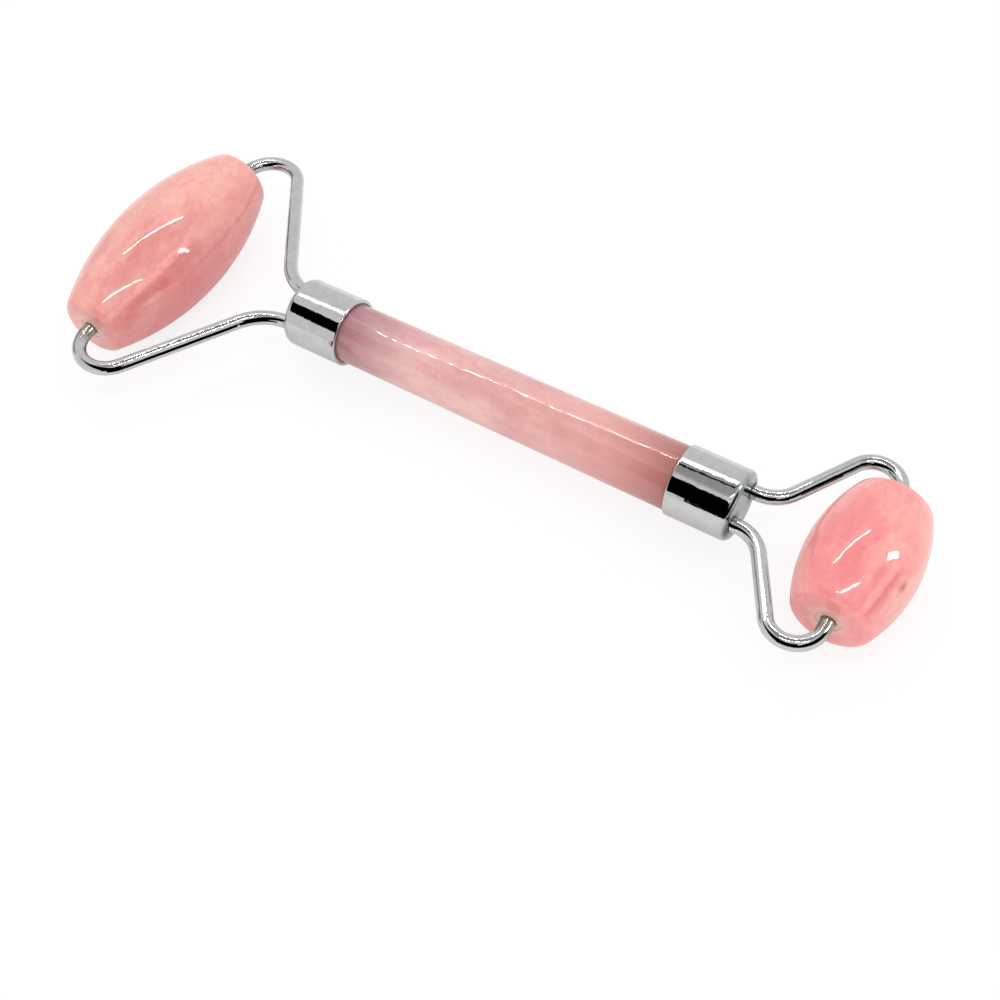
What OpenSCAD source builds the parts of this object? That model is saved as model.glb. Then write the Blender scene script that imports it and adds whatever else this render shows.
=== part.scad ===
// Double-ended face roller: a turned stone handle with a polished stone barrel in a wire fork at each end.
// +X runs along the handle towards the small roller, both rollers turn about Y, and +Z is up.
// The origin is the middle of the whole object's box, on the handle's axis. Sizes are in millimetres.

/* [Handle] */
// Length over the outer faces of the two ferrules
handle_len = 79; // [65:1:110]
// Diameter of the stone handle where it enters the large roller's ferrule
handle_d_large_end = 9.7; // [9.7:0.1:9.9]
// Diameter of the stone handle where it meets the small roller's ferrule
handle_d_small_end = 10.3; // [10.1:0.1:11]
// Diameter of the turned-down ends that are bonded into the ferrules
tenon_d = 9.6; // [9:0.1:9.6]

/* [Ferrules] */
// Outer diameter of the plated cups
ferrule_d = 11.2; // [11.2:0.1:13]
// Length of each cup
ferrule_len = 10.2; // [9:0.1:13]
// Thickness of the cup's side wall
ferrule_wall = 0.6; // [0.5:0.05:0.7]
// Thickness of the cup's closed end
ferrule_end_wall = 1.2; // [0.8:0.1:1.6]
// Rounding of the closed end's outer edge
ferrule_edge_r = 1; // [0.3:0.1:1.1]

/* [Wire arms] */
// Diameter of the plated wire
wire_d = 2.3; // [1.8:0.1:2.4]
// Distance from the handle's axis to each wire where it enters the ferrule
wire_offset = 3.3; // [3:0.1:3.4]
// Length of wire held inside the ferrule
wire_grip = 4.2; // [3:0.1:4.5]
// Length of the arm's stub inside the roller's bore
stub_len = 6; // [4:0.5:8]

/* [Large roller] */
// Length of the large stone along its axle line
large_len = 40.2; // [36:0.1:44]
// Largest diameter of the large stone
large_d = 19.2; // [16:0.1:20]
// Radius of the arc that the large stone's side is turned to
large_side_r = 48; // [40:1:80]
// Distance from the ferrule's face to the large roller's axis
large_reach = 28.3; // [26:0.1:34]
// Straight wire between the ferrule and the first bend of a large arm
large_lead = 0.4; // [0.2:0.1:2]
// Bend radius of a large arm beside the ferrule
large_root_r = 9; // [6:0.1:10]
// Bend radius of a large arm's shoulder
large_shoulder_r = 5.2; // [4:0.1:6]
// Gap between the large stone's end face and the start of the shoulder bend
large_gap = 0.9; // [0.6:0.1:3]

/* [Small roller] */
// Length of the small stone along its axle line
small_len = 22.6; // [20:0.1:26]
// Largest diameter of the small stone
small_d = 16.7; // [15:0.1:18]
// Radius of the arc that the small stone's side is turned to
small_side_r = 26; // [22:1:60]
// Distance from the ferrule's face to the small roller's axis
small_reach = 18.6; // [18:0.1:22]
// Straight wire between the ferrule and the first bend of a small arm
small_lead = 0.8; // [0.2:0.1:2]
// Bend radius of a small arm beside the ferrule
small_root_r = 5.5; // [4:0.1:6]
// Bend radius of a small arm's shoulder
small_shoulder_r = 4.1; // [3:0.1:4.5]
// Gap between the small stone's end face and the start of the shoulder bend
small_gap = 1.6; // [1:0.1:3]

/* [Bushings] */
// Outer diameter of the pale sleeve in each end of a stone's bore
bushing_d = 3.8; // [3.4:0.1:4.2]
// Length of each sleeve
bushing_len = 7; // [5:0.5:8]
// Depth of a sleeve below the stone's end face
bushing_recess = 0.1; // [0.1:0.1:0.6]
// Radial clearance that lets a stone turn on its wire stubs
running_clearance = 0.05; // [0.03:0.01:0.1]

/* [Hidden] */
$fn = 96;

wire_r = wire_d / 2;
// Slack that keeps bonded and pressed pieces from sharing a surface
seat_slack = 0.02;
stone_edge_r = 1.5;
bore_chamfer = 0.2;
resin_bed = 0.5;
resin_recess = 0.3;
mouth_chamfer = 0.1;
tip_chamfer = 0.3;
// The bends are a hair thicker than the straight wire, which ends just inside them
bend_step = 0.01;
bend_entry = 0.15;
side_steps = 20;
edge_steps = 5;

// The box runs from the large stone's outer side to the small stone's, so its middle is off the handle's middle
handle_mid_x = ((large_reach + large_d / 2) - (small_reach + small_d / 2)) / 2;
large_face_x = handle_mid_x - handle_len / 2;
small_face_x = handle_mid_x + handle_len / 2;
cup_r = ferrule_d / 2 - ferrule_wall;
// Depth of the tenon's end below a ferrule's outer face
tenon_depth = wire_grip + resin_bed;

// Points on an arc about centre, from angle a0 to a1 in n steps
function arc(centre, r, a0, a1, n) =
    [for (i = [0:n]) let (a = a0 + (a1 - a0) * i / n) centre + r * [cos(a), sin(a)]];

// One end of a stone: its generating arc and its edge rounding, as [radius, distance along the axle line]
function stone_end(len, d, side_r) =
    let (
        side_c = [d / 2 - side_r, 0],
        edge_y = len / 2 - stone_edge_r,
        edge_c = [side_c[0] + sqrt(pow(side_r - stone_edge_r, 2) - edge_y * edge_y), edge_y],
        meet = atan2(edge_y, edge_c[0] - side_c[0])
    )
    concat(
        arc(side_c, side_r, 0, meet, side_steps / 2),
        [for (i = [1:edge_steps]) arc(edge_c, stone_edge_r, meet, 90, edge_steps)[i]]
    );

// Turns a profile in [radius, height] about Y
module turn_about_y(profile) {
    rotate([-90, 0, 0]) rotate_extrude() polygon(profile);
}

// Turns a profile in [radius, distance] about X
module turn_about_x(profile) {
    rotate([90, 0, 90]) rotate_extrude() polygon(profile);
}

// The head frame has X pointing outwards from a ferrule's outer face
module at_large_head() {
    translate([large_face_x, 0, 0]) mirror([1, 0, 0]) children();
}

module at_small_head() {
    translate([small_face_x, 0, 0]) children();
}

// Stone handle: tapered between the ferrules' mouths, with a tenon at each end
module handle_stone() {
    tenon_x = handle_len / 2 - tenon_depth;
    mouth_x = handle_len / 2 - ferrule_len;
    color("#dba4a2")
        translate([handle_mid_x, 0, 0])
            turn_about_x([
                [0, -tenon_x],
                [tenon_d / 2, -tenon_x],
                [tenon_d / 2, -mouth_x],
                [handle_d_large_end / 2, -mouth_x],
                [handle_d_small_end / 2, mouth_x],
                [tenon_d / 2, mouth_x],
                [tenon_d / 2, tenon_x],
                [0, tenon_x]
            ]);
}

// Two round holes for the wires, from x0 to x1 in the head frame
module wire_holes(x0, x1) {
    for (side = [-1, 1])
        translate([x0, side * wire_offset, 0])
            rotate([0, 90, 0]) cylinder(h = x1 - x0, r = wire_r + seat_slack);
}

// Plated cup with a rounded closed end and two holes for the wires
module ferrule() {
    outer_r = ferrule_d / 2;
    edge_c = [outer_r - ferrule_edge_r, -ferrule_edge_r];
    color("#c9ccd0")
        difference() {
            turn_about_x(concat(
                [[0, -ferrule_end_wall], [0, 0]],
                arc(edge_c, ferrule_edge_r, 90, 0, edge_steps),
                [
                    [outer_r, mouth_chamfer - ferrule_len],
                    [outer_r - mouth_chamfer, -ferrule_len],
                    [cup_r, -ferrule_len],
                    [cup_r, -ferrule_end_wall]
                ]
            ));
            wire_holes(-2 * ferrule_end_wall, ferrule_end_wall);
        }
}

// Hardened resin: a thin sleeve around the tenon and a bed around the wires' inner ends
module bonding_resin() {
    bed_top = -ferrule_end_wall - seat_slack;
    bed_base = -tenon_depth + seat_slack;
    sleeve_end = resin_recess - ferrule_len;
    outer_r = cup_r - seat_slack;
    inner_r = tenon_d / 2 + seat_slack;
    color("#e8dcc0")
        difference() {
            turn_about_x([
                [0, bed_base],
                [0, bed_top],
                [outer_r, bed_top],
                [outer_r, sleeve_end],
                [inner_r, sleeve_end],
                [inner_r, bed_base]
            ]);
            wire_holes(-wire_grip - seat_slack, 0);
        }
}

// Round wire along X from x0 to x1
module straight_wire(x0, x1) {
    translate([x0, 0, 0]) rotate([0, 90, 0]) cylinder(h = x1 - x0, r = wire_r);
}

// Round wire bent about Z, from the X axis through an angle
module bent_wire(bend_r, angle) {
    rotate_extrude(angle = angle) translate([bend_r, 0]) circle(wire_r + bend_step);
}

// Bent wire in the head frame, from inside the ferrule to the stub in the roller's bore on the +Y side
module wire_arm(reach, lead, root_r, shoulder_r, roller_len, gap) {
    root_c = [lead, wire_offset + root_r];
    shoulder_c = [reach - shoulder_r, roller_len / 2 + gap];
    span = shoulder_c - root_c;
    // The leg touches both bends from opposite sides, so their radii add
    turn_sum = root_r + shoulder_r;
    splay = atan2(span[1], span[0]) + asin(turn_sum / norm(span));
    leg_len = sqrt(span * span - turn_sum * turn_sum);
    leg_start = root_c + root_r * [sin(splay), -cos(splay)];
    stub_reach = gap + stub_len;
    color("#b9bcc1") {
        translate([0, wire_offset, 0]) straight_wire(-wire_grip, lead + bend_entry);
        translate([root_c[0], root_c[1], 0]) rotate([0, 0, -90]) bent_wire(root_r, splay);
        translate([leg_start[0], leg_start[1], 0])
            rotate([0, 0, splay]) straight_wire(-bend_entry, leg_len + bend_entry);
        translate([shoulder_c[0], shoulder_c[1], 0]) bent_wire(shoulder_r, splay + 90);
        translate([reach, shoulder_c[1], 0])
            rotate([180, 0, 0])
                turn_about_y([
                    [0, -bend_entry],
                    [wire_r, -bend_entry],
                    [wire_r, stub_reach - tip_chamfer],
                    [wire_r - tip_chamfer, stub_reach],
                    [0, stub_reach]
                ]);
    }
}

module large_arm() {
    at_large_head()
        wire_arm(large_reach, large_lead, large_root_r, large_shoulder_r, large_len, large_gap);
}

module small_arm() {
    at_small_head()
        wire_arm(small_reach, small_lead, small_root_r, small_shoulder_r, small_len, small_gap);
}

// Barrel-shaped stone on its own axis, drilled right through and countersunk at both ends
module roller_stone(len, d, side_r) {
    bore_r = bushing_d / 2;
    upper = stone_end(len, d, side_r);
    last = len(upper) - 1;
    lower = [for (i = [last:-1:1]) [upper[i][0], -upper[i][1]]];
    half = len / 2;
    color("#f0a29c")
        turn_about_y(concat(
            [
                [bore_r, half - bore_chamfer],
                [bore_r, bore_chamfer - half],
                [bore_r + bore_chamfer, -half]
            ],
            lower,
            upper,
            [[bore_r + bore_chamfer, half]]
        ));
}

// Pale plastic sleeve in the +Y end of a stone's bore
module bushing(roller_len) {
    outer_r = bushing_d / 2 - seat_slack;
    inner_r = wire_r + running_clearance;
    top = roller_len / 2 - bushing_recess;
    color("#efe6e0")
        turn_about_y([
            [inner_r, top - bushing_len],
            [outer_r, top - bushing_len],
            [outer_r, top],
            [inner_r, top]
        ]);
}

module large_bushing() {
    translate([large_face_x - large_reach, 0, 0]) bushing(large_len);
}

module small_bushing() {
    translate([small_face_x + small_reach, 0, 0]) bushing(small_len);
}

// The right-hand pieces mirror the left-hand ones across the handle
module mirrored() {
    mirror([0, 1, 0]) children();
}

handle_stone();
at_large_head() ferrule();  // ferrule_large_end
at_small_head() ferrule();  // ferrule_small_end
at_large_head() bonding_resin();  // bonding_resin_large_end
at_small_head() bonding_resin();  // bonding_resin_small_end
large_arm();  // wire_arm_large_left
mirrored() large_arm();  // wire_arm_large_right
small_arm();  // wire_arm_small_left
mirrored() small_arm();  // wire_arm_small_right
translate([large_face_x - large_reach, 0, 0]) roller_stone(large_len, large_d, large_side_r);  // roller_stone_large
large_bushing();  // bushing_large_left
mirrored() large_bushing();  // bushing_large_right
translate([small_face_x + small_reach, 0, 0]) roller_stone(small_len, small_d, small_side_r);  // roller_stone_small
small_bushing();  // bushing_small_left
mirrored() small_bushing();  // bushing_small_right
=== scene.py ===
import math

import bmesh
import bpy
import numpy as np
from mathutils import Matrix, Vector


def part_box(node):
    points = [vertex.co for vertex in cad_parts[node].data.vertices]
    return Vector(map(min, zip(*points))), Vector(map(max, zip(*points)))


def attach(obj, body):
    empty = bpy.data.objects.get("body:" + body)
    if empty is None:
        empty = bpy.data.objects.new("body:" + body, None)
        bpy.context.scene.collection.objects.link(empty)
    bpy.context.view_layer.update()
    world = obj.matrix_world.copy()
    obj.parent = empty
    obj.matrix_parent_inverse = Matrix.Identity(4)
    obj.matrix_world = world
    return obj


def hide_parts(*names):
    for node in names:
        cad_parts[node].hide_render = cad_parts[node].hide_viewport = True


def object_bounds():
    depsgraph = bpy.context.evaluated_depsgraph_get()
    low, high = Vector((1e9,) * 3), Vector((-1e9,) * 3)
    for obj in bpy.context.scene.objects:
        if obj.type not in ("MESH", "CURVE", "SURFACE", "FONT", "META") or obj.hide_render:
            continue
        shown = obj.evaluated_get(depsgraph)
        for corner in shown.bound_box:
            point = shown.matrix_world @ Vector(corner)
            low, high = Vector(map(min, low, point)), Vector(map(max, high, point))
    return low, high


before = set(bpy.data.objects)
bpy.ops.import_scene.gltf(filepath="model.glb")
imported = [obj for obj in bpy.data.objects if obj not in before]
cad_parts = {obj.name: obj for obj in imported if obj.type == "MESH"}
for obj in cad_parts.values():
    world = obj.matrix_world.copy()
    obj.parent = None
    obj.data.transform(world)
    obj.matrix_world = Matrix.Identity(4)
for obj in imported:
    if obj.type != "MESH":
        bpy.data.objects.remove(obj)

cad_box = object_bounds()

# ---- Stone handle --------------------------------------------------------------------------------
# The handle is one turned and polished rod of dusky pink quartz, a little thicker at the small roller's end.
# Its two ends are turned down to tenons, which sit in the ferrules and can't be seen.

MM = 0.001
TURNS = 128
SHARP_ANGLE = 35
MERGE_WITHIN = 1e-8
SLIVER_EDGE = 1e-9
HANDLE_MIN_R = 4.85 * MM
HANDLE_TENON_R = 4.8 * MM
HANDLE_SHOULDER_R = 0.25 * MM
HANDLE_PALE = (238, 198, 191)
HANDLE_BODY = (230, 178, 174)
HANDLE_DEEP = (208, 146, 148)


def srgb(red, green, blue):
    """A display colour of 0 to 255 a channel as linear light, by the sRGB curve."""
    shares = np.array([red, green, blue]) / 255
    linear = np.where(shares <= 0.04045, shares / 12.92, ((shares + 0.055) / 1.055) ** 2.4)
    return (*linear.tolist(), 1.0)


def arc(centre, radius, start, end, steps):
    """Points on a circle about centre, evenly spaced in angle from start to end, in degrees."""
    angle = np.radians(np.linspace(start, end, steps + 1))
    return np.stack([centre[0] + radius * np.cos(angle), centre[1] + radius * np.sin(angle)], axis=1)


def shell(name, grid, closed):
    """A mesh over a grid of points: one four-cornered face between each point and its next neighbours.

    Every row closes on itself, the last row meets the first in a closed shell, and doubles are merged."""
    rows, columns = grid.shape[:2]
    row_steps = rows if closed else rows - 1
    i, j = np.meshgrid(np.arange(row_steps), np.arange(columns), indexing="ij")
    i_next, j_next = (i + 1) % rows, (j + 1) % columns
    row, next_row = i * columns, i_next * columns
    corners = np.stack([row + j, next_row + j, next_row + j_next, row + j_next], axis=-1)
    mesh = bpy.data.meshes.new(name)
    mesh.from_pydata(grid.reshape(-1, 3).tolist(), [], corners.reshape(-1, 4).tolist())
    piece = bpy.data.objects.new(name, mesh)
    bpy.context.scene.collection.objects.link(piece)
    tidy_faces(piece)
    return piece


def tidy_faces(piece):
    """Merges doubled points, turns every face outwards, and shades smooth up to the sharp angle."""
    work = bmesh.new()
    work.from_mesh(piece.data)
    bmesh.ops.remove_doubles(work, verts=work.verts, dist=MERGE_WITHIN)
    bmesh.ops.dissolve_degenerate(work, edges=work.edges, dist=SLIVER_EDGE)
    bmesh.ops.recalc_face_normals(work, faces=work.faces)
    work.to_mesh(piece.data)
    work.free()
    piece.data.shade_smooth()
    piece.data.set_sharp_from_angle(angle=math.radians(SHARP_ANGLE))


def turned(name, profile, axis, centre, closed, wobble=None, turns=TURNS):
    """A lathe shape: each profile point (along, radius) goes round the axis as radius times cosine and sine.

    The wobble is the share of the radius that is taken off at each place along and round the piece."""
    along, radius = profile[:, :1], profile[:, 1:]
    angle = np.linspace(0, 2 * math.pi, turns, endpoint=False)[None, :]
    if wobble is not None:
        radius = radius * (1 - wobble(along, angle))
    across, up = radius * np.cos(angle), radius * np.sin(angle)
    length = np.broadcast_to(along, across.shape)
    parts = (length, across, up) if axis == "x" else (across, length, up)
    grid = np.stack(parts, axis=-1) + np.array(centre)
    return shell(name, grid, closed)


class Value:
    """A shader socket that takes part in sums: each operator adds one Math node to the same tree."""

    def __init__(self, socket):
        self.socket = socket

    def node(self, kind, settings=None, sockets=None, out=0):
        """A new node of that kind: its settings first, then its sockets' values or links."""
        tree = self.socket.id_data
        made = tree.nodes.new(kind)
        for key, setting in (settings or {}).items():
            setattr(made, key, setting)
        for key, value in (sockets or {}).items():
            plug(tree, made.inputs[key], value)
        return Value(made.outputs[out])

    def maths(self, operation, *terms):
        """One Math node with that operation on the terms, which are Values or plain numbers."""
        return self.node("ShaderNodeMath", {"operation": operation}, dict(enumerate(terms)))

    def __add__(self, other):
        return self.maths("ADD", self, other)

    __radd__ = __add__

    def __sub__(self, other):
        return self.maths("SUBTRACT", self, other)

    def __rsub__(self, other):
        return self.maths("SUBTRACT", other, self)

    def __mul__(self, other):
        return self.maths("MULTIPLY", self, other)

    __rmul__ = __mul__

    def __abs__(self):
        return self.maths("ABSOLUTE", self)

    def step(self, low, high):
        """0 below low and 1 above high, with an eased rise between them; low may be the larger of the two."""
        limits = {"Value": self, "From Min": low, "From Max": high}
        return self.node("ShaderNodeMapRange", {"interpolation_type": "SMOOTHSTEP"}, limits)

    def noise(self, scale, detail=2.0, roughness=0.5, distortion=0.0):
        """Fractal noise over this vector, with scale in features to a unit."""
        sockets = {"Vector": self, "Scale": scale, "Detail": detail}
        sockets.update({"Roughness": roughness, "Distortion": distortion})
        return self.node("ShaderNodeTexNoise", None, sockets)

    def blend(self, first, second):
        """The first colour where this mask is 0 and the second where it is 1."""
        sockets = {0: self, 6: first, 7: second}
        return self.node("ShaderNodeMix", {"data_type": "RGBA"}, sockets, out=2)

    def placed(self, location=(0, 0, 0), rotation=(0, 0, 0), scale=(1, 1, 1)):
        """This vector scaled, then turned by degrees, then moved."""
        turns = [math.radians(turn) for turn in rotation]
        sockets = {"Vector": self, "Location": location, "Rotation": turns, "Scale": scale}
        return self.node("ShaderNodeMapping", None, sockets)

    def part(self, axis):
        """One component of this vector: 0 is x, 1 is y and 2 is z."""
        return self.node("ShaderNodeSeparateXYZ", None, {0: self}, out=axis)

    def bump(self, strength, distance):
        """The surface's normal, tilted by this height map; a height of 1 stands that distance proud."""
        sockets = {"Strength": strength, "Distance": distance, "Height": self}
        return self.node("ShaderNodeBump", None, sockets, out="Normal")


def plug(tree, socket, value):
    """Links a Value into the socket, or sets the socket to a plain value."""
    if isinstance(value, Value):
        tree.links.new(value.socket, socket)
    else:
        socket.default_value = value


def new_material(name):
    """A material with its shader, and its Object coordinates in millimetres as a Value."""
    material = bpy.data.materials.new(name)
    material.use_nodes = True
    tree = material.node_tree
    shader = tree.nodes["Principled BSDF"]
    coordinates = Value(tree.nodes.new("ShaderNodeTexCoord").outputs["Object"])
    return material, shader, coordinates.placed(scale=(1 / MM, 1 / MM, 1 / MM))


def set_shader(shader, **sockets):
    """Sets or links the shader's sockets; an underscore in a name stands for a space."""
    for key, value in sockets.items():
        plug(shader.id_data, shader.inputs[key.replace("_", " ")], value)


def quartz(name, pale, body, deep, grain_axis, offset, extra):
    """Polished quartz: clouds and thin veils drawn out along the grain, warm and cool tints, and a wet gloss.

    The extra function lays the piece's own marks, with its painted light, shade and reflection, over the
    colour."""
    material, shader, place = new_material(name)
    stretch = (0.45, 1, 1) if grain_axis == "x" else (1, 0.45, 1)
    grain = place.placed(location=offset, rotation=(8, 5, 14), scale=stretch)
    cloud = grain.noise(0.17, detail=6, roughness=0.62, distortion=0.5)
    drift = grain.noise(0.07, detail=4, roughness=0.55)
    patch = grain.noise(0.45, detail=4, roughness=0.6, distortion=0.3)
    veil = 1 - abs(grain.noise(0.12, detail=3, roughness=0.5, distortion=0.8) - 0.5).step(0.0, 0.03)
    speckle = place.noise(3.0, detail=3, roughness=0.8)
    tint = place.placed(location=(5, 2, 8)).noise(1.1, detail=4, roughness=0.7)
    warm = [min(255, channel + shift) for channel, shift in zip(body, (8, 8, -14))]
    cool = [channel + shift for channel, shift in zip(body, (-6, -14, 2))]
    colour = cloud.step(0.38, 0.62).blend(srgb(*body), srgb(*pale))
    colour = (drift.step(0.44, 0.64) * 0.6).blend(colour, srgb(*deep))
    colour = (patch.step(0.5, 0.7) * 0.42).blend(colour, srgb(*deep))
    colour = (patch.step(0.47, 0.3) * 0.45).blend(colour, srgb(*pale))
    colour = (veil * 0.22 * drift.step(0.35, 0.6)).blend(colour, srgb(*deep))
    colour = (tint.step(0.5, 0.68) * 0.5).blend(colour, srgb(*warm))
    colour = (tint.step(0.5, 0.32) * 0.5).blend(colour, srgb(*cool))
    colour = (speckle.step(0.54, 0.7) * 0.3).blend(colour, srgb(*pale))
    colour = (speckle.step(0.46, 0.3) * 0.28).blend(colour, srgb(*deep))
    colour = extra(place, colour)
    ripple = place.noise(0.22, detail=2) + speckle * 0.02
    normal = ripple.bump(0.05, 0.6 * MM)
    set_shader(shader, Base_Color=colour, Roughness=0.02 + speckle * 0.02, Normal=normal, IOR=1.54)
    set_shader(shader, Subsurface_Weight=0.3, Subsurface_Radius=(1.0, 0.45, 0.38), Subsurface_Scale=1.6 * MM)
    set_shader(shader, Sheen_Weight=0.16, Sheen_Roughness=0.4, Sheen_Tint=srgb(255, 226, 222))
    return material


handle_low, handle_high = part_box("handle_stone")
large_mouth_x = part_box("ferrule_large_end")[1][0]
small_mouth_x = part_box("ferrule_small_end")[0][0]
handle_max_r = (handle_high[2] - handle_low[2]) / 2


def handle_profile():
    """The rod's outline from tenon to tenon, with a small rounded shoulder where it meets each ferrule."""
    taper_x = np.linspace(large_mouth_x + HANDLE_SHOULDER_R, small_mouth_x - HANDLE_SHOULDER_R, 60)
    share = (taper_x - large_mouth_x) / (small_mouth_x - large_mouth_x)
    taper = np.stack([taper_x, HANDLE_MIN_R + share * (handle_max_r - HANDLE_MIN_R)], axis=1)
    shoulder_c = (small_mouth_x - HANDLE_SHOULDER_R, handle_max_r - HANDLE_SHOULDER_R)
    shoulder = arc(shoulder_c, HANDLE_SHOULDER_R, 90, 0, 6)[1:]
    start = [
        [handle_low[0], 0],
        [handle_low[0], HANDLE_TENON_R],
        [large_mouth_x, HANDLE_TENON_R],
        [large_mouth_x, HANDLE_MIN_R],
    ]
    end = [[small_mouth_x, HANDLE_TENON_R], [handle_high[0], HANDLE_TENON_R], [handle_high[0], 0]]
    return np.concatenate([start, taper, shoulder, end])


def handle_wobble(along, angle):
    """Hand polishing leaves the rod a few thousandths out of round: one plus a sine times a cosine."""
    return 0.003 * (1 + np.sin(2 * angle + 90 * along) * np.cos(160 * along + angle))


def handle_ends(place, colour):
    """The stone is rosier at the small end, and next to each ferrule its colour is darkened with painted
    shade, more mauve at the large end.
    """
    x = place.part(0)
    sway = place.placed(rotation=(0, 0, 35)).noise(0.16, detail=4, roughness=0.6) * 14 - 7
    shade_near_large = x.step(large_mouth_x / MM + 16, large_mouth_x / MM - 2)
    rosy = (x + sway).step(-2, 30)
    shade_near_small = x.step(small_mouth_x / MM - 12, small_mouth_x / MM + 3)
    colour = (rosy * 0.65).blend(colour, srgb(216, 148, 142))
    # Painted shade: the stone's colour darkens towards each ferrule's lip
    colour = (shade_near_large * 0.85).blend(colour, srgb(150, 100, 110))
    return (shade_near_small * 0.85).blend(colour, srgb(152, 84, 80))


handle_quartz = quartz("handle_quartz", HANDLE_PALE, HANDLE_BODY, HANDLE_DEEP, "x", (3, 11, 5), handle_ends)
handle = turned("polished_handle_stone", handle_profile(), "x", (0, 0, 0), closed=False, wobble=handle_wobble)
handle.data.materials.append(handle_quartz)
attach(handle, "handle")
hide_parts("handle_stone")

# ---- Ferrules ------------------------------------------------------------------------------------
# Each ferrule is a drawn cup, chrome plated, with a rounded closed end and two punched holes for the wires.
# Its open lip is rolled smooth and stands a little proud of the stone that is bonded into it.

FERRULE_EDGE_R = 1.0 * MM
FERRULE_WALL = 0.6 * MM
FERRULE_END_WALL = 1.2 * MM
LIP_R = 0.2 * MM
SUPPORT_GAP = 0.06 * MM
HOLE_CLEARANCE = 0.05 * MM
HOLE_FLARE = 0.3 * MM
DRILL_OVERRUN = 0.5 * MM
WIRE_OFFSET = 3.3 * MM
arm_low, arm_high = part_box("wire_arm_large_left")
wire_r = (arm_high[2] - arm_low[2]) / 2


def chrome(name, colour, polish, extra):
    """Bright plating over a slightly uneven base: soft ripples, faint rubbing marks and a little haze.

    The extra function lays the piece's own wear, and its painted shade, over the colour and the roughness."""
    material, shader, place = new_material(name)
    haze = place.noise(0.7, detail=3, roughness=0.6)
    rub = place.placed(scale=(0.35, 3, 3)).noise(2.2, detail=2)
    ripple = place.noise(0.5, detail=2) + rub * 0.012
    normal = ripple.bump(0.1, 0.3 * MM)
    tint = haze.step(0.35, 0.7).blend(srgb(*colour), srgb(*[0.96 * channel for channel in colour]))
    rough = polish + haze * 0.04
    tint, rough = extra(place, tint, rough)
    set_shader(shader, Base_Color=tint, Metallic=1.0, Roughness=rough, Normal=normal)
    return material


def cup_profile(length, outer_r):
    """A cup's closed outline, as (distance behind its closed end, radius).

    Quarter circles round its outer edge and both sides of its lip, with a support ring beside each flat."""
    inner_r = outer_r - FERRULE_WALL
    edge = arc((FERRULE_EDGE_R, outer_r - FERRULE_EDGE_R), FERRULE_EDGE_R, 180, 90, 14)
    lip_c = (length - LIP_R, outer_r - LIP_R)
    lip_out = arc(lip_c, LIP_R, 90, 0, 6)
    lip_in = arc((length - LIP_R, inner_r + LIP_R), LIP_R, 0, -90, 6)
    flat_r = outer_r - FERRULE_EDGE_R
    return np.concatenate([
        [[0, 0], [0, 0.5 * flat_r], [0, flat_r - SUPPORT_GAP]],
        edge,
        [[FERRULE_EDGE_R + SUPPORT_GAP, outer_r], [length - LIP_R - SUPPORT_GAP, outer_r]],
        lip_out,
        lip_in,
        [[length - 1 * MM, inner_r], [FERRULE_END_WALL, inner_r], [FERRULE_END_WALL, 0]],
    ])


def punch_holes(cup, face_x, inwards):
    """Cuts both wire holes with a drill that flares at the outer face, which rounds each hole's rim."""
    hole_r = wire_r + HOLE_CLEARANCE
    flare = arc((HOLE_FLARE, hole_r + HOLE_FLARE), HOLE_FLARE, 180, 270, 6)
    outline = np.concatenate([
        [[-DRILL_OVERRUN, 0], [-DRILL_OVERRUN, hole_r + HOLE_FLARE]],
        flare,
        [[2 * FERRULE_END_WALL, hole_r], [2 * FERRULE_END_WALL, 0]],
    ])
    outline[:, 0] *= inwards
    for side in (-1, 1):
        drill = turned("drill", outline, "x", (face_x, side * WIRE_OFFSET, 0), closed=False, turns=48)
        cut = cup.modifiers.new("hole", "BOOLEAN")
        cut.object = drill
        cut.operation = "DIFFERENCE"
        cut.solver = "EXACT"
        bpy.context.view_layer.update()
        drilled = cup.evaluated_get(bpy.context.evaluated_depsgraph_get())
        drilled_mesh = bpy.data.meshes.new_from_object(drilled)
        cup.modifiers.remove(cut)
        cup.data = drilled_mesh
        bpy.data.objects.remove(drill)
    tidy_faces(cup)


def dull_and_shaded_ends(place, tint, rough):
    """The cup's closed end is polished less than its side, and its colour is darkened with painted shade,
    darkest in the corner round each wire.
    """
    x, y, z = place.part(0), place.part(1), place.part(2)
    middle = (large_end_x + small_end_x) / 2 / MM
    half = (small_end_x - large_end_x) / 2 / MM
    flat_end = abs(x - middle).step(half - 0.9, half - 0.15)
    off = abs(y) - WIRE_OFFSET / MM
    wire_edge = off.maths("SQRT", off * off + z * z) - wire_r / MM + place.noise(1.5, detail=3) * 0.5
    corner = wire_edge.step(1.7, 0.5) * flat_end
    # Painted shade: the end face's colour is darkened, and darkest in the corner round each wire
    tint = (flat_end * 0.6).blend(tint, srgb(130, 146, 144))
    return (corner * 0.88).blend(tint, srgb(46, 43, 42)), rough + flat_end * 0.1


large_end_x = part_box("ferrule_large_end")[0][0]
small_end_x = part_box("ferrule_small_end")[1][0]
ferrule_chrome = chrome("ferrule_chrome", (204, 204, 204), 0.025, dull_and_shaded_ends)
for end in ("large", "small"):
    low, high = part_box(f"ferrule_{end}_end")
    face_x = low[0] if end == "large" else high[0]
    inwards = 1 if end == "large" else -1
    profile = cup_profile(high[0] - low[0], (high[2] - low[2]) / 2)
    profile[:, 0] *= inwards
    cup = turned(f"plated_ferrule_{end}_end", profile, "x", (face_x, 0, 0), closed=False)
    punch_holes(cup, face_x, inwards)
    cup.data.materials.clear()
    cup.data.materials.append(ferrule_chrome)
    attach(cup, "handle")
    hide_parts(f"ferrule_{end}_end")

# ---- Bonding resin -------------------------------------------------------------------------------
# Hard amber resin beds the wires' inner ends and the stone's tenon in each cup. It was poured in soft, and
# it ends a little way inside the lip.

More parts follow.
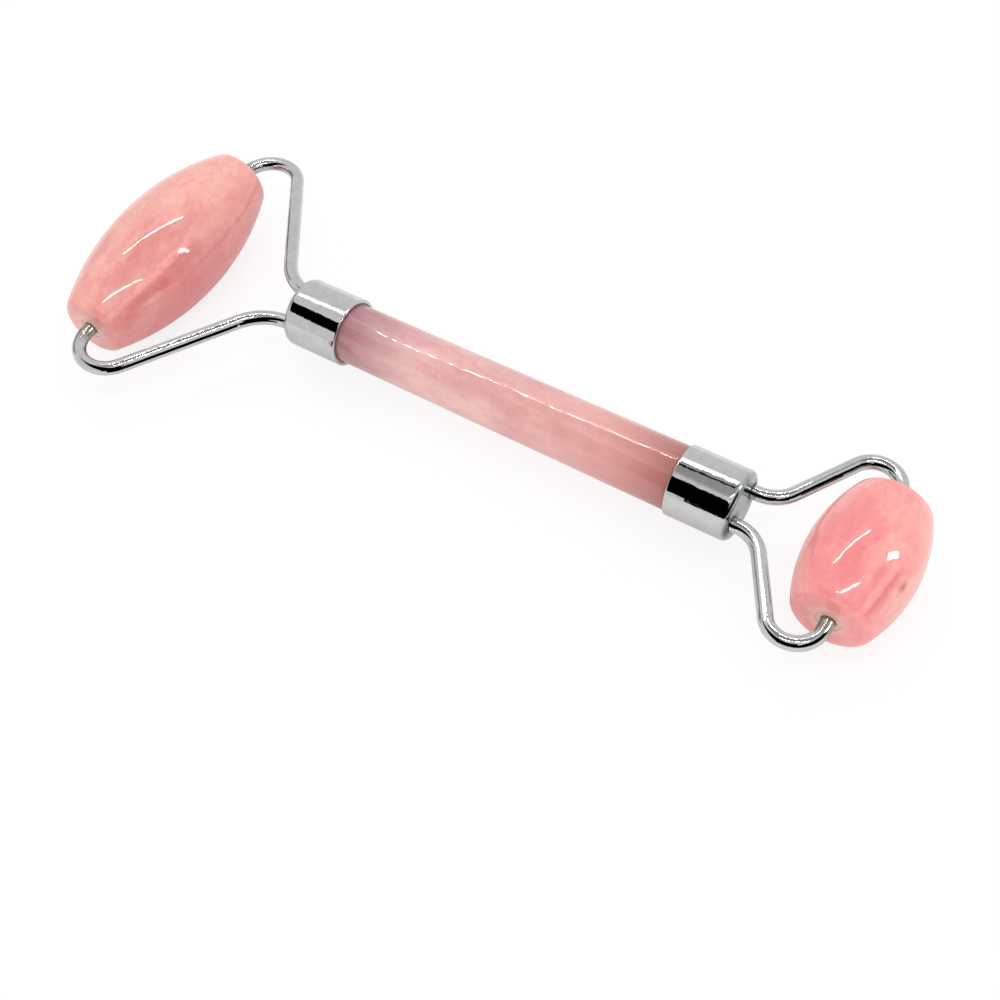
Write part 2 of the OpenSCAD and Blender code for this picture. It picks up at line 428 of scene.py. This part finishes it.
resin, resin_shader, resin_place = new_material("bonding_resin")
resin_cloud = resin_place.noise(1.2, detail=3).step(0.3, 0.7).blend(srgb(222, 206, 176), srgb(196, 172, 136))
set_shader(resin_shader, Base_Color=resin_cloud, Roughness=0.18 + 0.1 * resin_place.noise(3.0), IOR=1.5)
for end in ("large", "small"):
    plug_of_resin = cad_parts[f"bonding_resin_{end}_end"]
    plug_of_resin.data.materials.clear()
    plug_of_resin.data.materials.append(resin)

# ---- Wire arms -----------------------------------------------------------------------------------
# Each arm is one length of plated steel wire. It leaves the ferrule along the handle, bends outwards,
# runs straight, and turns back round its shoulder into a stub that the stone turns on.

WIRE_SIDES = 40
WIRE_GRIP = 4.2 * MM
STUB_LENGTH = 6 * MM
DOME_SHARE = 0.3
ARM_BENDS = {
    "large": {"lead": 0.4 * MM, "root_r": 9.0 * MM, "shoulder_r": 5.2 * MM},
    "small": {"lead": 0.8 * MM, "root_r": 5.5 * MM, "shoulder_r": 4.1 * MM},
}


def arm_path(reach, half_length, top, lead, root_r, shoulder_r):
    """The arm's centre line as (out from the ferrule's face, out from the handle's axis).

    Two opposite bends joined by the straight leg that touches both: the leg's splay is the angle of the line
    between the bends' centres plus the angle whose sine is the radii's sum over that line's length."""
    root_c = np.array([lead, WIRE_OFFSET + root_r])
    shoulder_c = np.array([reach - shoulder_r, top - shoulder_r])
    span = shoulder_c - root_c
    splay = math.degrees(math.atan2(span[1], span[0]) + math.asin((root_r + shoulder_r) / math.hypot(*span)))
    root = arc(root_c, root_r, -90, splay - 90, 18)
    shoulder = arc(shoulder_c, shoulder_r, splay + 90, 0, 40)
    leg = root[-1] + np.linspace(0, 1, 9)[1:-1, None] * (shoulder[0] - root[-1])
    stub_end = half_length - STUB_LENGTH
    stub = np.stack([np.full(8, reach), np.linspace(shoulder_c[1], stub_end, 9)[1:]], axis=1)
    entry = np.stack([np.linspace(-WIRE_GRIP, lead, 6)[:-1], np.full(5, WIRE_OFFSET)], axis=1)
    return np.concatenate([entry, root, leg, shoulder, stub])


def wire_tube(name, path, to_place):
    """A round wire along a flat path: each ring stands square to the path, and both ends are domed shut.

    A ring's points are the path's point plus the radius times cosine to the side and times sine upwards."""
    tangent = np.gradient(path, axis=0)
    tangent /= np.linalg.norm(tangent, axis=1, keepdims=True)
    dome = np.radians([90, 60, 30])
    beyond = (DOME_SHARE * wire_r * np.sin(dome))[:, None]
    first = path[0] - tangent[0] * beyond
    last = path[-1] + tangent[-1] * beyond[::-1]
    centre = np.concatenate([first, path, last])
    tangent = np.concatenate([np.repeat(tangent[:1], 3, axis=0), tangent, np.repeat(tangent[-1:], 3, axis=0)])
    radius = wire_r * np.concatenate([np.cos(dome), np.ones(len(path)), np.cos(dome)[::-1]])
    angle = np.linspace(0, 2 * math.pi, WIRE_SIDES, endpoint=False)[None, :]
    side = np.stack([-tangent[:, 1], tangent[:, 0]], axis=1)
    flat = centre[:, None, :] + (radius[:, None] * np.cos(angle))[..., None] * side[:, None, :]
    up = radius[:, None] * np.sin(angle)
    grid = np.stack([*to_place(flat[..., 0], flat[..., 1]), up], axis=-1)
    return shell(name, grid, closed=False)


def rubbed_and_shaded_stubs(place, tint, rough):
    """Near each stone's axle the plating is rubbed duller by the bushings, and its colour is darkened to a
    brownish grey there with painted shade, where the stub runs into the stone.
    """
    x = place.part(0)
    y_out = abs(place.part(1))
    ragged_edge = place.noise(1.4, detail=3) * 1.2
    large = (abs(x - large_axle_x / MM) + ragged_edge).step(3.0, 1.4) * y_out.step(24.0, 21.6)
    small = (abs(x - small_axle_x / MM) + ragged_edge).step(3.0, 1.4) * y_out.step(15.0, 12.8)
    rubbed_and_shaded_mask = large.maths("MAXIMUM", large, small)
    # Painted shade: the stub's colour darkens where it runs into the stone; the rise in roughness is real
    # rubbing
    return (rubbed_and_shaded_mask * 0.75).blend(tint, srgb(138, 122, 104)), rough + rubbed_and_shaded_mask * 0.12


large_axle_x = sum(corner[0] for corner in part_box("roller_stone_large")) / 2
small_axle_x = sum(corner[0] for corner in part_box("roller_stone_small")) / 2
wire_chrome = chrome("wire_chrome", (203, 203, 203), 0.02, rubbed_and_shaded_stubs)
for end in ("large", "small"):
    outwards = -1 if end == "large" else 1
    ferrule_low, ferrule_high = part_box(f"ferrule_{end}_end")
    face_x = ferrule_low[0] if end == "large" else ferrule_high[0]
    stone_low, stone_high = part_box(f"roller_stone_{end}")
    reach = abs((stone_low[0] + stone_high[0]) / 2 - face_x)
    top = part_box(f"wire_arm_{end}_left")[1][1] - wire_r
    path = arm_path(reach, stone_high[1], top, **ARM_BENDS[end])
    for side, across in (("left", 1), ("right", -1)):
        arm = wire_tube(f"bent_wire_arm_{end}_{side}", path,
                        lambda out, off: (face_x + outwards * out, across * off))
        arm.data.materials.append(wire_chrome)
        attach(arm, "handle")
        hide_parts(f"wire_arm_{end}_{side}")

# ---- Roller stones -------------------------------------------------------------------------------
# Each roller is a barrel of salmon-pink quartz, turned to a long arc and drilled through with a diamond bit.
# It is hand polished, so it is a few hundredths of a millimetre out of true, and its bore's rim is frosted.
# The bore is a hair tighter than the sleeve that is pressed into it, so no gap shows round the sleeve.

STONE_TURNS = 160
BORE_R = 1.86 * MM
BORE_RIM = 0.1 * MM
STONE_EDGE_R = 1.5 * MM
FACE_CROWN_ANGLE = 5
SPECK_CENTRE_MM = (70.6, -3.9, 4.0)
SPECK_SCALE = (1, 0.6, 1)
STONES = {
    "large": {
        "side_r": 48 * MM,
        "pale": (242, 186, 174),
        "body": (239, 164, 155),
        "deep": (218, 126, 128),
        "offset": (0, 0, 0),
    },
    "small": {
        "side_r": 26 * MM,
        "pale": (248, 180, 170),
        "body": (246, 155, 152),
        "deep": (232, 128, 134),
        "offset": (37, 9, 21),
    },
}


def barrel_profile(half, max_r, side_r):
    """A drilled barrel's closed outline, as (along its axle, radius).

    A long arc for its side, a small arc round each end, then a face that swells gently towards the bore:
    the face is the parabola that leaves the small arc at the crown angle and is flat at the bore's rim."""
    side_c = (0, max_r - side_r)
    rim_r = BORE_R + BORE_RIM
    crown = math.radians(FACE_CROWN_ANGLE)
    rough_edge_r = side_c[1] + math.sqrt((side_r - STONE_EDGE_R) ** 2 - (half - STONE_EDGE_R) ** 2)
    swell = math.tan(crown) * (rough_edge_r + STONE_EDGE_R * math.sin(crown) - rim_r) / 2
    edge_y = half - swell - STONE_EDGE_R * math.cos(crown)
    edge_r = side_c[1] + math.sqrt((side_r - STONE_EDGE_R) ** 2 - edge_y ** 2)
    meet = math.degrees(math.atan2(edge_r - side_c[1], edge_y))
    side = arc(side_c, side_r, 180 - meet, meet, 90)
    edge = arc((edge_y, edge_r), STONE_EDGE_R, meet, FACE_CROWN_ANGLE, 14)[1:]
    face_r = np.linspace(edge[-1, 1], rim_r, 14)[1:-1]
    share = (face_r - rim_r) / (edge[-1, 1] - rim_r)
    face = np.stack([half - (half - edge[-1, 0]) * share ** 2, face_r], axis=1)
    rim = arc((half - BORE_RIM, rim_r), BORE_RIM, 0, -90, 5)
    upper = np.concatenate([edge, face, rim])
    return np.concatenate([side, upper, (upper * [-1, 1])[::-1][:-1]])


def stone_wobble(along, angle):
    """Slow waves that only ever take stone away: one plus a sine times a cosine, round and along it."""
    return 0.0035 * (1 + np.sin(3 * angle + 70 * along) * np.cos(110 * along - 2 * angle)) / 2


def bore_frost(place, x, z):
    """A mask for the paler ground stone round the bore: 1 at its rim, fading out some 2 mm further out."""
    distance = x.maths("SQRT", x * x + z * z)
    return (distance + place.noise(1.0, detail=3) * 1.6).step(4.6, 2.6)


def large_stone_marks_and_painted_light(place, colour):
    """A deeper rose side towards the handle and underneath, darkened further with painted shade, a paler
    upper far side, which is painted light, and a painted reflection streak along the grain: a pale line
    between darker borders.

    The angle round the axle is measured from the side that faces the handle."""
    x, y, z = place.part(0) - large_axle_x / MM, place.part(1), place.part(2)
    sway = place.noise(0.25, detail=4, roughness=0.6) - 0.5
    # Painted shade darkens the lower side towards the handle, over its deeper rose tone; painted light pales
    # the upper far side
    rose_and_shaded_side = (x * 0.9 - z * 0.4 + sway * 9).step(2.5, 8.5)
    pale_side = (z * 0.25 - x * 0.9 + sway * 7).step(3.0, 9.0)
    angle = z.maths("ARCTAN2", z, x) + sway * 0.12
    along = y.step(2.0, -3.0) * y.step(-19.0, -13.0)
    broken = place.noise(0.7, detail=3, roughness=0.7)
    # A painted reflection streak: a pale line with darker borders along the grain
    reflection_streak = (1 - abs(angle - 0.74).step(0.03, 0.09)) * broken.step(0.3, 0.5)
    streak_border = 1 - abs(angle - 0.58).step(0.06, 0.24)
    colour = (rose_and_shaded_side * 0.6).blend(colour, srgb(224, 128, 134))
    colour = (pale_side * 0.45).blend(colour, srgb(243, 198, 188))
    colour = (streak_border * along * 0.6).blend(colour, srgb(208, 110, 112))
    colour = (reflection_streak * along * 0.7).blend(colour, srgb(255, 174, 164))
    return (bore_frost(place, x, z) * 0.5).blend(colour, srgb(248, 208, 198))


def small_stone_marks_and_painted_streak(place, colour):
    """A paler side away from the handle, a rosy end, a painted reflection streak along the grain, which is a
    thin pale line between darker borders, and a tiny brown speck.

    The angle round the axle is measured from the side away from the handle."""
    x, y, z = place.part(0) - small_axle_x / MM, place.part(1), place.part(2)
    sway = place.noise(0.3, detail=4, roughness=0.6) - 0.5
    pale_side = (x * 0.75 + y * 0.35 + sway * 8).step(1.5, 8.0)
    rose_end = (sway * 8 - y).step(4.0, 11.0)
    angle = z.maths("ARCTAN2", z, x) + sway * 0.12
    along = y.step(-1.0, -4.0) * y.step(-12.0, -9.0)
    # A painted reflection streak: a thin pale line with darker borders along the grain
    reflection_streak = 1 - abs(angle - 0.9).step(0.05, 0.12)
    streak_border = 1 - abs(angle - 0.74).step(0.03, 0.16)
    speck_start = [-middle * share for middle, share in zip(SPECK_CENTRE_MM, SPECK_SCALE)]
    speck_place = place.placed(location=speck_start, scale=SPECK_SCALE)
    speck = speck_place.node("ShaderNodeVectorMath", {"operation": "LENGTH"}, {0: speck_place}, out="Value")
    speck = (speck + place.noise(2.5, detail=3) * 0.8 - 0.4).step(0.9, 0.15)
    colour = (pale_side * 0.35).blend(colour, srgb(252, 192, 184))
    colour = (rose_end * 0.35).blend(colour, srgb(240, 146, 152))
    colour = (streak_border * along * 0.4).blend(colour, srgb(230, 120, 128))
    colour = (reflection_streak * along * 0.55).blend(colour, srgb(255, 186, 184))
    colour = (bore_frost(place, x, z) * 0.5).blend(colour, srgb(252, 206, 196))
    return (speck * 0.75).blend(colour, srgb(206, 92, 74))


# Each stone's own marks, with the painted light, painted shade and painted reflection streaks laid over them
marks = {"large": large_stone_marks_and_painted_light, "small": small_stone_marks_and_painted_streak}
for end, look in STONES.items():
    stone_low, stone_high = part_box(f"roller_stone_{end}")
    centre = ((stone_low[0] + stone_high[0]) / 2, 0, 0)
    profile = barrel_profile(stone_high[1], (stone_high[2] - stone_low[2]) / 2, look["side_r"])
    name = f"polished_roller_stone_{end}"
    stone = turned(name, profile, "y", centre, closed=True, wobble=stone_wobble, turns=STONE_TURNS)
    colours = (look["pale"], look["body"], look["deep"])
    stone.data.materials.append(quartz(f"roller_quartz_{end}", *colours, "y", look["offset"], marks[end]))
    # The plated wires and ferrules don't mirror the stone, so the metal stays free of pink
    stone.visible_glossy = False
    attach(stone, f"{end}_roller")
    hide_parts(f"roller_stone_{end}")

# ---- Bushings ------------------------------------------------------------------------------------
# A pale nylon sleeve is pressed into each end of a stone's bore, and the wire stub turns in it.

nylon, nylon_shader, nylon_place = new_material("bushing_nylon")
nylon_tone = nylon_place.noise(1.5, detail=3).step(0.3, 0.7).blend(srgb(244, 204, 194), srgb(232, 184, 174))
set_shader(nylon_shader, Base_Color=nylon_tone, Roughness=0.38 + 0.1 * nylon_place.noise(4.0), IOR=1.53)
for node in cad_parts:
    if node.startswith("bushing_"):
        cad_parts[node].data.materials.clear()
        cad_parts[node].data.materials.append(nylon)

# ---- Studio --------------------------------------------------------------------------------------
# A white table and a light tent: even white light, two rows of small lamps overhead, a bright window to
# one side, and dark room beyond the tent's open front. All these panels only show in reflections.

FLOOR_SIZE = 1.2
PLAIN_SHARE = 0.78
PLAIN_STRENGTH = 1.03
LAMP_LENGTH = 5 * MM
LAMP_WIDTH = 9 * MM
LAMP_STRENGTH = 90
STRIP_LENGTH = 0.27
STRIP_WIDTH = 0.05
STRIP_POWER = 0.12
LAMP_ROWS = [
    (21, (-0.184, 0.026, 0.329), (0.018, 0.202, 0.329)),
    (14, (0.000, -0.114, 0.300), (0.182, -0.020, 0.266)),
]
FRONT = np.array([-0.62, -0.79])
FRONT_ALONG = np.array([0.79, -0.62])
FRONT_DISTANCE = 0.202


def card(name, points):
    """A flat four-cornered panel."""
    mesh = bpy.data.meshes.new(name)
    mesh.from_pydata(points, [], [(0, 1, 2, 3)])
    panel = bpy.data.objects.new(name, mesh)
    bpy.context.scene.collection.objects.link(panel)
    return panel


def glow(name, strength, colour=(1, 1, 1, 1)):
    """A material that only gives off light, at that strength; at a strength of 0 it is black."""
    material, shader, _ = new_material(name)
    set_shader(shader, Base_Color=(0, 0, 0, 1), Roughness=1.0, Specular_IOR_Level=0.0)
    set_shader(shader, Emission_Color=colour, Emission_Strength=strength)
    material.cycles.emission_sampling = "NONE"
    return material


def reflected(name, material, points):
    """A panel that shows in glossy reflections, but neither to the camera nor as light or shadow."""
    panel = card(name, points)
    panel.data.materials.append(material)
    panel.visible_camera = False
    panel.visible_diffuse = False
    panel.visible_shadow = False
    panel.visible_transmission = False


def front_point(along, z):
    """A point on the tent's open front, from its distance along the front and its height."""
    x, y = along * FRONT_ALONG + FRONT_DISTANCE * FRONT
    return (x, y, z)


floor_z = cad_box[0][2]
half_floor = FLOOR_SIZE / 2
floor = card("floor", [
    (-half_floor, -half_floor, floor_z),
    (half_floor, -half_floor, floor_z),
    (half_floor, half_floor, floor_z),
    (-half_floor, half_floor, floor_z),
])
paper, paper_shader, _ = new_material("white_table")
set_shader(paper_shader, Base_Color=(0.93, 0.93, 0.93, 1), Roughness=0.9, Specular_IOR_Level=0.1)
floor.data.materials.append(paper)
# Seen directly, the paper is mostly plain white, so that only a faint shadow shows on it
lit_by_studio = Value(paper_shader.outputs[0])
seen = lit_by_studio.node("ShaderNodeLightPath", None, None, out="Is Camera Ray")
plain_white = seen.node("ShaderNodeEmission", None, {"Color": (1, 1, 1, 1), "Strength": PLAIN_STRENGTH})
mixed = seen.node("ShaderNodeMixShader", None, {0: seen * PLAIN_SHARE, 1: lit_by_studio, 2: plain_white})
plug(paper.node_tree, paper.node_tree.nodes["Material Output"].inputs["Surface"], mixed)

lamp_glow = glow("lamp_glow", LAMP_STRENGTH)
for row, (count, start, end) in enumerate(LAMP_ROWS):
    start, end = np.array(start), np.array(end)
    run = (end - start) / np.linalg.norm(end - start) * LAMP_LENGTH / 2
    side = np.array([-run[1], run[0], 0]) / LAMP_LENGTH * LAMP_WIDTH
    for number, middle in enumerate(np.linspace(start, end, count)):
        corners = [middle - run - side, middle + run - side, middle + run + side, middle - run + side]
        reflected(f"lamp_{row}_{number}", lamp_glow, [tuple(corner) for corner in corners])
    light = bpy.data.lights.new(f"strip_{row}", "AREA")
    light.shape = "RECTANGLE"
    light.size = STRIP_LENGTH
    light.size_y = STRIP_WIDTH
    light.energy = STRIP_POWER
    strip = bpy.data.objects.new(f"strip_{row}", light)
    strip.location = (start + end) / 2
    strip.rotation_euler = (0, 0, math.atan2(run[1], run[0]))
    strip.visible_glossy = False
    bpy.context.scene.collection.objects.link(strip)

no_light = glow("dark_room", 0.0)
for name, material, points in (
    ("lamp_tray", glow("tray_glow", 1.9), [
        (-0.231, 0.025, 0.335), (0.019, 0.204, 0.335), (-0.019, 0.258, 0.335), (-0.269, 0.079, 0.335)]),
    ("low_lamp_tray", glow("low_tray_glow", 1.5), [
        (0.009, -0.134, 0.303), (0.191, -0.040, 0.269), (0.173, 0.0, 0.269), (-0.009, -0.094, 0.303)]),
    ("tent_opening", no_light, [
        front_point(-0.225, 0.213), front_point(0.20, 0.0),
        front_point(0.35, 0.0), front_point(0.35, 0.419)]),
    ("tent_seam", no_light, [
        (-0.093, -0.013, 0.300), (0.137, 0.157, 0.300), (0.122, 0.177, 0.300), (-0.108, 0.007, 0.300)]),
    ("room_beside", no_light, [
        (-0.030, -0.280, 0.0), (0.19, -0.190, 0.0), (0.19, -0.190, 0.286), (-0.030, -0.280, 0.25)]),
    ("room_at_end", no_light, [
        (0.12, -0.15, -0.009), (0.12, 0.018, 0.012), (0.12, 0.018, 0.070), (0.12, -0.15, 0.070)]),
    ("low_board", no_light, [
        (-0.0272, -0.0159, -0.0094), (-0.0470, -0.0459, -0.0094),
        (-0.0470, -0.0459, 0.004), (-0.0272, -0.0159, 0.004)]),
    ("dim_corner", glow("dim_corner", 0.42), [
        (-0.35, -0.08, 0.0), (-0.35, 0.09, 0.0), (-0.35, 0.09, 0.15), (-0.35, -0.08, 0.15)]),
    ("window", glow("window_glow", 16, (0.96, 0.97, 1.0, 1)), [
        (0.387, 0.235, 0.385), (0.387, 0.230, 0.210), (0.387, 0.185, 0.155), (0.387, 0.168, 0.310)]),
    ("window_side", glow("window_side", 0.85), [
        (0.25, 0.137, 0.08), (0.25, 0.20, 0.08), (0.25, 0.20, 0.30), (0.25, 0.137, 0.30)]),
):
    reflected(name, material, points)

world = bpy.data.worlds.new("tent")
bpy.context.scene.world = world
world.use_nodes = True
sky = world.node_tree.nodes["Background"]
direction = Value(world.node_tree.nodes.new("ShaderNodeTexCoord").outputs["Generated"])
height = direction.part(2)
seen_ray = direction.node("ShaderNodeLightPath", None, None, out="Is Camera Ray")
glossy_ray = direction.node("ShaderNodeLightPath", None, None, out="Is Glossy Ray")
# Seen directly the tent is plain white. In reflections it is greyer, and greyest straight overhead
tent = height.step(0.86, 0.95).blend((0.86, 0.86, 0.86, 1), (0.42, 0.42, 0.42, 1))
tent = glossy_ray.blend((0.95, 0.95, 0.95, 1), tent)
tent = seen_ray.blend(tent, (1.0, 1.0, 1.0, 1))
plug(world.node_tree, sky.inputs["Color"], tent)

bpy.context.scene.view_settings.view_transform = "Standard"

# ---- Camera --------------------------------------------------------------------------------------
# A short telephoto close above the table, from the side of the small roller, tipped a few degrees.

CAMERA_PLACE = Vector((0.0895, -0.1186, 0.1789))
LOOK_AT = Vector((0.0138, -0.0162, 0.0))
CAMERA_TIP = -5.6

camera_data = bpy.data.cameras.new("camera")
camera_data.lens = 54
camera_data.sensor_width = 36
camera_data.clip_start = 0.01
camera = bpy.data.objects.new("camera", camera_data)
bpy.context.scene.collection.objects.link(camera)
toward = (LOOK_AT - CAMERA_PLACE).to_track_quat("-Z", "Y").to_matrix().to_4x4()
tip = Matrix.Rotation(math.radians(CAMERA_TIP), 4, "Z")
camera.matrix_world = Matrix.Translation(CAMERA_PLACE) @ toward @ tip
bpy.context.scene.camera = camera
